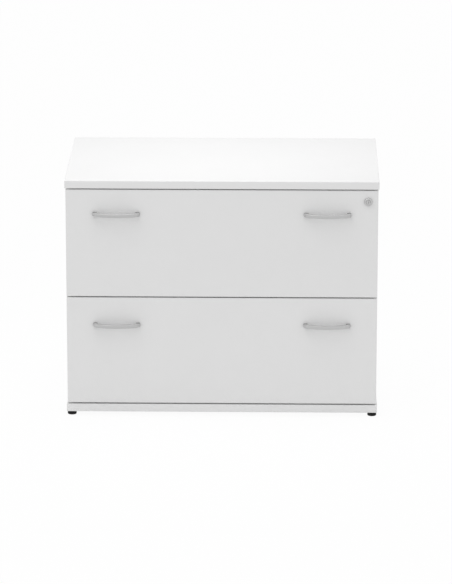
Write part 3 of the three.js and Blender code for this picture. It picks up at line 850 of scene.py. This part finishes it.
def ringed(name, axis, steps, sides=64):
    """A turned piece along Y: a first disc, drawn out to each next radius and place along the axis."""
    (radius, reached), *rest = steps
    piece = disc(name, radius, sides, (axis.x, reached, axis.z), (math.pi / 2, 0, 0))
    edit(piece)
    bpy.ops.mesh.select_all(action="SELECT")
    for wider, depth in rest:
        draw_out((0, depth - reached, 0))
        scale = wider / radius
        bpy.ops.transform.resize(value=(scale, 1, scale), center_override=(axis.x, depth, axis.z))
        radius, reached = wider, depth
    face_outwards()
    done()
    return piece


def profile_from(face, profile):
    return [(radius * MM, face + depth * MM) for radius, depth in profile]


def make_lock_rose(axis):
    low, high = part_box("lock_housing")
    rear = high.y
    back_of_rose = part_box("upper_drawer_front")[0].y - ROSE_GAP
    steps = [
        (LOCK_BORE, rear),
        (BARREL_END_RADIUS, rear),
        (BARREL_RADIUS, rear - ROSE_EDGE),
        (BARREL_RADIUS, back_of_rose),
        (ROSE_BACK_RADIUS, back_of_rose),
        (ROSE_RADIUS, back_of_rose - ROSE_EDGE),
        *profile_from(low.y, ROSE_FACE),
        (LOCK_BORE, rear),
    ]
    housing = ringed("lock_rose_and_barrel", axis, steps)

    def over_bore(middle, normal):
        from_axis = math.hypot(middle.x - axis.x, middle.z - axis.z)
        return abs(middle.y - rear) < SAME_PLANE and from_axis < LOCK_BORE

    edit(housing)
    pick_faces(housing, over_bore)
    bpy.ops.mesh.delete(type="FACE")
    bpy.ops.mesh.select_all(action="SELECT")
    bpy.ops.mesh.remove_doubles(threshold=LOCK_MERGE)
    bpy.ops.mesh.normals_make_consistent(inside=False)
    done()
    coloured(smooth(housing, FITTING_ANGLE), LOCK_NICKEL)
    fitted(housing, "upper_drawer", "nickel", "lock_housing")


def make_lock():
    low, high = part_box("lock_plug")
    axis = (low + high) / 2
    make_lock_rose(axis)

    steps = [(PLUG_END_RADIUS, high.y), (PLUG_RADIUS, high.y - PLUG_EDGE), *profile_from(low.y, PLUG_FACE)]
    plug = ringed("lock_plug_face", axis, steps, PLUG_SIDES)
    keyhole = Vector((axis.x, low.y, axis.z))
    cut_out(plug, block_about("keyway", keyhole, KEYWAY))
    cut_out(plug, block_about("ward", keyhole + WARD_PLACE, WARD))
    coloured(smooth(plug, FITTING_ANGLE), LOCK_NICKEL)
    fitted(plug, "lock_plug", "nickel", "lock_plug")

    low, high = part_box("lock_nut")
    nut = ringed("lock_fixing_nut", axis, [(NUT_RADIUS, low.y), (NUT_RADIUS, high.y)], NUT_SIDES)
    rounded(nut, NUT_ROUNDING)
    ends = (axis.x, low.y - MM, axis.z), (axis.x, high.y + MM, axis.z)
    cut_out(nut, rod("nut_bore", LOCK_HOLE_RADIUS, *ends, NUT_BORE_SIDES))
    coloured(smooth(nut, FITTING_ANGLE), FITTING_ZINC)
    fitted(nut, "upper_drawer", "zinc_plate", "lock_nut")

    cam = rounded(from_solid("lock_crank", "lock_cam"), CAM_ROUNDING)
    coloured(smooth(cam, FITTING_ANGLE), FITTING_ZINC)
    fitted(cam, "lock_plug", "zinc_plate", "lock_cam")


def make_lock_bar():
    bar = rounded(from_solid("locking_bar", "lock_bar"), BAR_ROUNDING)
    coloured(smooth(bar, FITTING_ANGLE), BAR_ALUMINIUM)
    fitted(bar, "lock_bar", "bar_aluminium", "lock_bar")
    for level in LEVELS:
        node = f"lock_bar_{level}_guide"
        low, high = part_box(node)
        plate = rounded(block("guide_plate", low, high), GUIDE_ROUNDING)
        screws = []
        for y in (low.y + GUIDE_SCREW_FROM_END, high.y - GUIDE_SCREW_FROM_END):
            at = (low.x, y, (low.z + high.z) / 2)
            screws.append(pan_screw("guide_screw", GUIDE_SCREW, at, (-1, 0, 0)))
        coloured(smooth(plate), FITTING_ZINC)
        guide = joined(f"{level}_bar_guide", plate, *screws)
        fitted(guide, "carcass", "zinc_plate", node)
        node = f"{level}_lock_striker"
        striker = rounded(from_solid(f"{level}_bar_striker", node), STRIKER_ROUNDING)
        coloured(smooth(striker, FITTING_ANGLE), FITTING_ZINC)
        fitted(striker, f"{level}_drawer", "zinc_plate", node)


# Levelling feet: the glide's profile gives a radius and a height in millimetres
FOOT_RIBS = 36
FOOT_SOLE_INSET = 1.0 * MM
FOOT_PROFILE = (
    (13.7, 0.4),
    (14.2, 0.9),
    (14.4, 1.6),
    (14.4, 9.4),
    (13.9, 10.6),
    (12.0, 11.6),
    (9.4, 12.2),
    (8.6, 12.6),
    (8.2, 13.7),
    (4.6, 13.7),
    (4.3, 13.4),
    (4.3, 5.7),
)
RIB_LOW = 1.5 * MM
RIB_HIGH = 9.6 * MM
RIB_RADIUS = 14.3 * MM
RIB_PHASE = 0.25
RIB_VALLEY = 0.965
FOOT_ANGLE = 38
STUD_RADIUS = 4.0 * MM
STUD_PITCH = 1.25 * MM
STUD_BOTTOM = 6.2 * MM
STUD_TOP = 33.4 * MM
STUD_SIDES = 24
THREAD_DEPTH = 0.61
THREAD_CREST = (0.44, 0.56)
THREAD_ANGLE = 25


def draw_upwards(broad, reached, steps):
    """Draws a disc in edit mode up through radii and heights, and turns the faces outwards."""
    bpy.ops.mesh.select_all(action="SELECT")
    for breadth, level in steps:
        draw_out((0, 0, level - reached))
        scale = breadth / broad
        bpy.ops.transform.resize(value=(scale, scale, 1), center_override=(0, 0, level))
        broad, reached = breadth, level
    face_outwards()


def make_glide():
    low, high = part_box("front_left_foot_glide")
    sole = (high.x - low.x) / 2 - FOOT_SOLE_INSET
    glide = disc("foot_glide", sole, 2 * FOOT_RIBS, (0, 0, 0))
    edit(glide)
    draw_upwards(sole, 0.0, [(breadth * MM, level * MM) for breadth, level in FOOT_PROFILE])
    bpy.ops.mesh.select_mode(type="VERT")
    bpy.ops.mesh.select_all(action="DESELECT")
    mesh = bmesh.from_edit_mesh(glide.data)
    for vertex in mesh.verts:
        turn = (math.atan2(vertex.co.y, vertex.co.x) / math.pi * FOOT_RIBS + RIB_PHASE) % 2
        on_rim = RIB_LOW < vertex.co.z < RIB_HIGH and vertex.co.xy.length > RIB_RADIUS
        vertex.select_set(on_rim and turn < 1)
    mesh.select_flush(True)
    bmesh.update_edit_mesh(glide.data)
    bpy.ops.transform.resize(value=(RIB_VALLEY, RIB_VALLEY, 1), center_override=(0, 0, 0))
    done()
    return coloured(smooth(glide, FOOT_ANGLE), FOOT_BLACK)


def make_stud():
    """A stud whose stacked ridges stand for its thread."""
    core = STUD_RADIUS - THREAD_DEPTH * STUD_PITCH
    ridge = [(STUD_RADIUS, share) for share in THREAD_CREST] + [(core, 1.0)]
    steps = [
        (breadth, STUD_BOTTOM + (turn + share) * STUD_PITCH)
        for turn in range(int((STUD_TOP - STUD_BOTTOM) / STUD_PITCH))
        for breadth, share in ridge
    ]
    stud = disc("foot_stud_thread", core, STUD_SIDES, (0, 0, STUD_BOTTOM))
    edit(stud)
    draw_upwards(core, STUD_BOTTOM, steps)
    done()
    return coloured(smooth(stud, THREAD_ANGLE), FITTING_ZINC)


def make_feet():
    glide = make_glide()
    stud = make_stud()
    for foot in FEET:
        low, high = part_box(f"{foot}_foot_glide")
        place = Vector(((low.x + high.x) / 2, (low.y + high.y) / 2, 0))
        twin = copied(glide, f"{foot}_glide", place)
        fitted(twin, f"{foot}_foot", "black_plastic", f"{foot}_foot_glide")
        twin = copied(stud, f"{foot}_stud", place)
        fitted(twin, f"{foot}_foot", "zinc_plate", f"{foot}_foot_stud")
    bpy.data.objects.remove(glide)
    bpy.data.objects.remove(stud)


# Runners: each piece is modelled at the lower left and copied to the other three places
RUNNER_SHEET = 1.4 * MM
RUNNER_ROUNDING = 0.45 * MM
RUNNER_ANGLE = 35
TROUGH_PAST_END = 10.0 * MM
TROUGH_PAST_MOUTH = 5.0 * MM
SLOT_REACH = 3.0 * MM
SLOT_END_SHARE = 0.98
SLOT_END_SEGMENTS = 6
INNER_SLOTS = (0.2, 0.45, 0.8)
# Which way a member opens along X, its slots' shares of the length, and a slot's straight length and width
RUNNER_MEMBERS = {
    "outer": (1, (0.07, 0.3, 0.52, 0.9), 6.0 * MM, 4.5 * MM),
    "middle": (1, (0.12, 0.36, 0.62, 0.86), 14.0 * MM, 6.0 * MM),
    "inner": (-1, INNER_SLOTS, 8.0 * MM, 4.5 * MM),
}
RUNNER_BODIES = {
    "outer": "carcass",
    "middle": "{}_runner_middles",
    "inner": "{}_drawer",
    "outer_ball_cage": "{}_outer_ball_cages",
    "inner_ball_cage": "{}_inner_ball_cages",
}


def channel(name, node, opening):
    """A pressed channel along Y, open towards +X (1) or -X (-1)."""
    low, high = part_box(node)
    piece = block(name, low, high)
    low = low + Vector((0, -TROUGH_PAST_END, RUNNER_SHEET))
    high = high + Vector((0, TROUGH_PAST_END, -RUNNER_SHEET))
    if opening > 0:
        low.x += RUNNER_SHEET
        high.x += TROUGH_PAST_MOUTH
    else:
        low.x -= TROUGH_PAST_MOUTH
        high.x -= RUNNER_SHEET
    return cut_out(piece, block("trough", low, high))


def slot_cutter(at, length, width):
    """A bar across a web, as long as a slot and round at both ends."""
    cutter = block_about("slot_cutter", at, Vector((SLOT_REACH, (length + width) / 2, width / 2)))
    edit(cutter)
    bpy.ops.mesh.select_mode(type="EDGE")
    mesh = bmesh.from_edit_mesh(cutter.data)
    for edge in mesh.edges:
        along = edge.verts[1].co - edge.verts[0].co
        edge.select_set(abs(along.x) > abs(along.y) + abs(along.z))
    bmesh.update_edit_mesh(cutter.data)
    bpy.ops.mesh.bevel(offset=SLOT_END_SHARE * width / 2, segments=SLOT_END_SEGMENTS)
    done()
    return cutter


def runner_member(which):
    opening, shares, slot_length, slot_width = RUNNER_MEMBERS[which]
    whole_low, whole_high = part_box("lower_left_runner_outer")
    length = whole_high.y - whole_low.y
    z = (whole_low.z + whole_high.z) / 2
    node = f"lower_left_runner_{which}"
    low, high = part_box(node)
    web = low.x + RUNNER_SHEET / 2 if opening > 0 else high.x - RUNNER_SHEET / 2
    member = channel(f"runner_{which}", node, opening)
    for share in shares:
        at = Vector((web, low.y + share * length, z))
        cut_out(member, slot_cutter(at, slot_length, slot_width))
    rounded(member, RUNNER_ROUNDING)
    return coloured(smooth(member, RUNNER_ANGLE), RUNNER_ZINC)


CAGE_BALLS = 11
CAGE_SHEET = 1.2 * MM
CAGE_PAST_END = 5.0 * MM
CAGE_ROUNDING = 0.3 * MM
BALL_RADIUS = 1.8 * MM
BALL_SEGMENTS = 14
BALL_RINGS = 8
BALL_ANGLE = 60
BALL_FROM_WEB = 2.8 * MM
BALL_IN_LIP = 0.6 * MM


def ball_cage(name, low, high):
    """A pressed strip with folded lips that carries a row of balls along each edge."""
    strip_low = low + Vector((0, 0, CAGE_SHEET))
    strip_high = high - Vector((0, 0, CAGE_SHEET))
    strip = block(name, strip_low, strip_high)
    trough_low = strip_low + Vector((CAGE_SHEET, -CAGE_PAST_END, CAGE_SHEET))
    trough_high = strip_high + Vector((CAGE_PAST_END, CAGE_PAST_END, -CAGE_SHEET))
    cut_out(strip, block("trough", trough_low, trough_high))
    rounded(strip, CAGE_ROUNDING)
    coloured(smooth(strip, RUNNER_ANGLE), FITTING_ZINC)
    balls = []
    pitch = (high.y - low.y) / CAGE_BALLS
    for index in range(CAGE_BALLS):
        for level in (strip_low.z + BALL_IN_LIP, strip_high.z - BALL_IN_LIP):
            bpy.ops.object.select_all(action="DESELECT")
            place = (low.x + BALL_FROM_WEB, low.y + (index + 0.5) * pitch, level)
            bpy.ops.mesh.primitive_uv_sphere_add(
                segments=BALL_SEGMENTS, ring_count=BALL_RINGS, radius=BALL_RADIUS, location=place
            )
            balls.append(coloured(smooth(called("ball"), BALL_ANGLE), BALL_STEEL))
    return joined(name, strip, *balls)


def make_runners():
    pieces = {which: runner_member(which) for which in RUNNER_MEMBERS}
    for which in ("outer", "inner"):
        name = f"{which}_ball_cage"
        pieces[name] = ball_cage(name, *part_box(f"lower_left_runner_{name}"))
    for number, level in enumerate(LEVELS):
        for hand in HANDS:
            for which, piece in pieces.items():
                name = f"{level}_{hand}_slide_{which}"
                twin = copied(piece, name, (0, 0, number * LEVEL_STEP), hand == "right")
                body = RUNNER_BODIES[which].format(level)
                fitted(twin, body, "zinc_plate", f"{level}_{hand}_runner_{which}")
    for piece in pieces.values():
        bpy.data.objects.remove(piece)


# Small fittings: caps over the cam fittings, box screws, and the release lever on each inner runner
CAP_RADIUS = 8.5 * MM
CAP_HEIGHT = 1.0 * MM
CAP_ROUNDING = 0.6 * MM
CAP_SEGMENTS = 3
CAP_EDGE_ANGLE = 60
CAP_SLOT = mm(0.35, 0.45, 2.6)
CAP_ANGLE = 35
SIDE_CAP_PLACES = (-200.0 * MM, 40.0 * MM, 262.0 * MM)
SIDE_CAP_FROM_END = 34.0 * MM
BOX_CAP_FROM_FRONT = 34.0 * MM
BOX_CAP_HEIGHTS = (40.0 * MM, 135.0 * MM, 230.0 * MM)
BOX_SCREW_HEIGHTS = (105.0 * MM, 165.0 * MM, 225.0 * MM)


def cover_cap(at, towards):
    """A domed cap with a shallow slot for lifting it out."""
    face = Vector(at) + Vector(towards) * CAP_HEIGHT
    cap = rod("cover_cap", CAP_RADIUS, at, face)
    rounded(cap, CAP_ROUNDING, CAP_SEGMENTS, CAP_EDGE_ANGLE)
    cut_out(cap, block_about("cap_slot", face, CAP_SLOT))
    return coloured(smooth(cap, CAP_ANGLE), CAP_WHITE)


def make_caps_and_screws():
    for hand, side in zip(HANDS, (-1, 1)):
        low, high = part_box(f"{hand}_side_panel")
        inner = high.x if side < 0 else low.x
        caps = [
            cover_cap((inner, y, z), (-side, 0, 0))
            for y in SIDE_CAP_PLACES
            for z in (low.z + SIDE_CAP_FROM_END, high.z - SIDE_CAP_FROM_END)
        ]
        fitted(joined(f"{hand}_side_cover_caps", *caps), "carcass", "white_board")
        for level in LEVELS:
            low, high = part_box(f"{level}_drawer_{hand}_side")
            inner, outer = (high.x, low.x) if side < 0 else (low.x, high.x)
            front = low.y + BOX_CAP_FROM_FRONT
            caps = [cover_cap((inner, front, low.z + z), (-side, 0, 0)) for z in BOX_CAP_HEIGHTS]
            fitted(joined(f"{level}_{hand}_box_cover_caps", *caps), f"{level}_drawer", "white_board")
            back_low, back_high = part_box(f"{level}_drawer_back")
            rear = (back_low.y + back_high.y) / 2
            screws = [
                pan_screw("box_screw", BOX_SCREW, (outer, rear, low.z + z), (side, 0, 0))
                for z in BOX_SCREW_HEIGHTS
            ]
            fitted(joined(f"{level}_{hand}_box_screws", *screws), f"{level}_drawer", "zinc_plate")


LEVER_LENGTH = 66.0 * MM
LEVER_HEIGHT = 9.0 * MM
LEVER_THICKNESS = 3.0 * MM
LEVER_PLACE = 0.62
LEVER_NOSE = 0.55
LEVER_ROUNDING = 0.6 * MM
LEVER_NOSE_FACING = 0.9
THUMB_HOLLOW = mm(0.7, 7.0, 2.6)
THUMB_FROM_MIDDLE = 18.0 * MM


def release_lever(web, middle, z):
    """A flat lever against the web, narrower at its nose, with a hollow for the thumb."""
    centre = Vector((web - LEVER_THICKNESS / 2, middle, z))
    lever = block_about("release_lever", centre, Vector((LEVER_THICKNESS, LEVER_LENGTH, LEVER_HEIGHT)) / 2)
    edit(lever)
    pick_faces(lever, lambda at, normal: normal.y < -LEVER_NOSE_FACING)
    nose = (centre.x, middle - LEVER_LENGTH / 2, z)
    bpy.ops.transform.resize(value=(1, 1, LEVER_NOSE), center_override=nose)
    done()
    place = Vector((centre.x - LEVER_THICKNESS / 2, middle + THUMB_FROM_MIDDLE, z))
    cut_out(lever, block_about("thumb_hollow", place, THUMB_HOLLOW))
    return coloured(smooth(rounded(lever, LEVER_ROUNDING)), BUFFER_BLACK)


def make_runner_fittings():
    """Screws and a release lever in the hollow of each inner runner."""
    low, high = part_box("lower_left_runner_inner")
    web = high.x - RUNNER_SHEET
    z = (low.z + high.z) / 2
    length = high.y - low.y
    lever = release_lever(web, low.y + LEVER_PLACE * length, z)
    places = [(web, low.y + share * length, z) for share in INNER_SLOTS]
    screws = [pan_screw("runner_screw", RUNNER_SCREW, place, (-1, 0, 0)) for place in places]
    screws = joined("runner_screws", *screws)
    for number, level in enumerate(LEVELS):
        for hand in HANDS:
            move = (0, 0, number * LEVEL_STEP)
            twin = copied(lever, f"{level}_{hand}_release_lever", move, hand == "right")
            fitted(twin, f"{level}_drawer", "black_plastic")
            twin = copied(screws, f"{level}_{hand}_runner_screws", move, hand == "right")
            fitted(twin, f"{level}_drawer", "zinc_plate")
    bpy.data.objects.remove(lever)
    bpy.data.objects.remove(screws)


make_carcass()
for drawer_level in LEVELS:
    make_drawer_boards(drawer_level)
make_handles()
make_lock()
make_lock_bar()
make_feet()
make_runners()
make_caps_and_screws()
make_runner_fittings()

# Studio: a pale floor, soft light from above and all round, and the photograph's camera
WHITE = (1.0, 1.0, 1.0, 1.0)
FLOOR_SIZE = 400.0
FLOOR_GREY = 0.9
FLOOR_SHARE = 0.95
WORLD_LEVEL = 0.86
TOP_LIGHT = {
    "place": (-0.6, -0.9, 2.8),
    "aim": (0.0, -0.9, 0.0),
    "size": (2.0, 0.9),
    "power": 10.0,
    "spread": 180,
}
CROWN_LIGHT = {
    "place": (0.0, 0.02, 2.6),
    "aim": (0.0, 0.02, 0.0),
    "size": (1.5, 0.9),
    "power": 1.3,
    "spread": 60,
}
PICTURE_HEIGHT = 584
CAMERA_AIM = Vector((0.0, -0.2814, 0.397))
CAMERA_DISTANCE = 11.86
CAMERA_AZIMUTH = math.radians(1.06)
CAMERA_ELEVATION = math.radians(15.83)
CAMERA_LENS = 228.6
CAMERA_SENSOR = 36.0
CAMERA_REACH = 1000.0
AIM_OFFSET_X = 4.21
AIM_OFFSET_Y = 5.55


def seen_rays(finish):
    """1 for what is seen straight, in a reflection or through glass, and 0 for light that spreads."""
    path = finish.node("LightPath", out="Is Camera Ray")
    rays = path.socket.node.outputs
    glossy = Wire(finish, rays["Is Glossy Ray"])
    through = Wire(finish, rays["Is Transmission Ray"])
    return path + glossy + through > 0.5


def make_floor():
    bpy.ops.object.select_all(action="DESELECT")
    bpy.ops.mesh.primitive_plane_add(size=FLOOR_SIZE, location=(0, 0, 0))
    floor = called("studio_floor")
    finish = Finish("studio_floor")
    shaded = finish.node("BsdfDiffuse", sockets={"Color": (*grey(FLOOR_GREY), 1.0)})
    white = finish.node("Emission", sockets={"Color": WHITE, "Strength": 1.0})
    lit = finish.node("MixShader", sockets={0: seen_rays(finish) * FLOOR_SHARE, 1: shaded, 2: white})
    finish.node_output(lit)
    coloured(floor, finish.material)


def make_world():
    world = bpy.data.worlds.new("studio")
    bpy.context.scene.world = world
    world.use_nodes = True
    finish = Finish("studio", world.node_tree)
    level = between(WORLD_LEVEL, 1.0, seen_rays(finish))
    sky = finish.node("Background", sockets={"Color": WHITE, "Strength": level})
    finish.node_output(sky, "OutputWorld")


def make_lamp(name, place, aim, size, power, spread):
    lamp = bpy.data.lights.new(name, "AREA")
    lamp.shape = "RECTANGLE"
    lamp.size, lamp.size_y = size
    lamp.energy = power
    lamp.spread = math.radians(spread)
    holder = bpy.data.objects.new(name, lamp)
    bpy.context.scene.collection.objects.link(holder)
    holder.location = place
    holder.rotation_euler = (Vector(aim) - Vector(place)).to_track_quat("-Z", "Y").to_euler()


def make_camera():
    camera = bpy.data.cameras.new("photo_camera")
    holder = bpy.data.objects.new("photo_camera", camera)
    bpy.context.scene.collection.objects.link(holder)
    level = math.cos(CAMERA_ELEVATION)
    back = Vector(
        (math.sin(CAMERA_AZIMUTH) * level, -math.cos(CAMERA_AZIMUTH) * level, math.sin(CAMERA_ELEVATION))
    )
    holder.location = CAMERA_AIM + back * CAMERA_DISTANCE
    holder.rotation_euler = (-back).to_track_quat("-Z", "Y").to_euler()
    camera.sensor_width = CAMERA_SENSOR
    camera.lens = CAMERA_LENS
    camera.shift_x = AIM_OFFSET_X / PICTURE_HEIGHT
    camera.shift_y = AIM_OFFSET_Y / PICTURE_HEIGHT
    camera.clip_end = CAMERA_REACH
    bpy.context.scene.camera = holder


make_floor()
make_world()
make_lamp("top_light", **TOP_LIGHT)
make_lamp("crown_light", **CROWN_LIGHT)
make_camera()
bpy.context.scene.view_settings.view_transform = "Standard"
